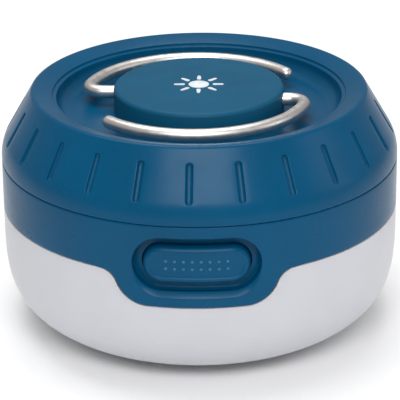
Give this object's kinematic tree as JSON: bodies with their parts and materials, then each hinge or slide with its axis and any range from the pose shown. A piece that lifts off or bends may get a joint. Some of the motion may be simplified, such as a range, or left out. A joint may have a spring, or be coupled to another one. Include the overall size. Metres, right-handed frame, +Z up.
{
  "type": "compact camp lantern",
  "caption": "Compact round LED camp lantern: frosted globe, battery housing with a push button, twist-off ribbed cap and folding wire hanging hooks.",
  "frame": {"origin": "centre of the globe's flat foot, at the lowest point of the lantern", "axes": "+Z up through the globe, housing and cap; -Y towards the push button; +X to the right as the button is seen"},
  "size_m": [0.076, 0.076, 0.0475],
  "materials": {
    "blue_shell": "satin moulded",
    "mark_ink": "pad printed",
    "screw_steel": "zinc plated",
    "hook_steel": "satin drawn wire",
    "frosted_globe": "frosted translucent",
    "seal_rubber": "matte",
    "pad_foam": "closed-cell foam",
    "black_plastic": "moulded",
    "battery_jacket": "printed sleeve",
    "contact_metal": "nickel plated",
    "white_plastic": "moulded",
    "led_board_white": "solder mask",
    "led_phosphor": "silicone dome",
    "spreader_aluminium": "rolled sheet",
    "board_green": "solder mask",
    "component_black": "moulded",
    "plunger_plastic": "moulded",
    "lead_red": "insulation",
    "lead_black": "insulation",
    "lead_white": "insulation"
  },
  "bodies": {
    "housing": {"base_housing": "blue_shell", "globe": "frosted_globe", "battery_tray": "black_plastic", "battery_front": "battery_jacket", "battery_middle": "battery_jacket", "battery_back": "battery_jacket", "contact_springs": "contact_metal", "contact_plates": "contact_metal", "reflector": "white_plastic", "led_board": "led_board_white", "led_emitter": "led_phosphor", "heat_spreader": "spreader_aluminium", "driver_board": "board_green", "driver_parts": "component_black", "switch_board": "board_green", "tact_switch": "component_black", "lead_red": "lead_red", "lead_black": "lead_black", "switch_leads": "lead_white", "board_screws": "screw_steel", "reflector_screws": "screw_steel", "tray_screws": "screw_steel"},
    "seal": {"cap_seal": "seal_rubber"},
    "cap": {"top_cap": "blue_shell", "hook_hub": "blue_shell", "hub_mark": "mark_ink", "hub_screws": "screw_steel", "hook_retainer": "screw_steel", "battery_pad": "pad_foam"},
    "front_hook": {"hook_front": "hook_steel"},
    "rear_hook": {"hook_rear": "hook_steel"},
    "button": {"power_button": "blue_shell", "switch_plunger": "plunger_plastic"}
  },
  "joints": [
    {"name": "cap_turn", "type": "hinge", "parent": "housing", "child": "seal", "pos_m": [0, 0, 0.034], "axis": [0, 0, 1], "range_deg": [0, 160]},
    {"name": "cap_lift", "type": "slide", "parent": "seal", "child": "cap", "axis": [0, 0, 1], "range_m": [0, 0.00533]},
    {"name": "hook_front_swing", "type": "hinge", "parent": "cap", "child": "front_hook", "pos_m": [0.0145, -0.0022, 0.0452], "axis": [-1, 0, 0], "range_deg": [0, 90]},
    {"name": "hook_rear_swing", "type": "hinge", "parent": "cap", "child": "rear_hook", "pos_m": [-0.0145, 0.0022, 0.0452], "axis": [1, 0, 0], "range_deg": [0, 90]},
    {"name": "button_press", "type": "slide", "parent": "housing", "child": "button", "axis": [0, 1, 0], "range_m": [0, 0.0005], "stiffness_N_per_m": 1200, "springref_m": -0.0003}
  ],
  "couplings": [
    {"joint": "cap_lift", "follows": "cap_turn", "m_per_rad": 0.0019099}
  ]
}
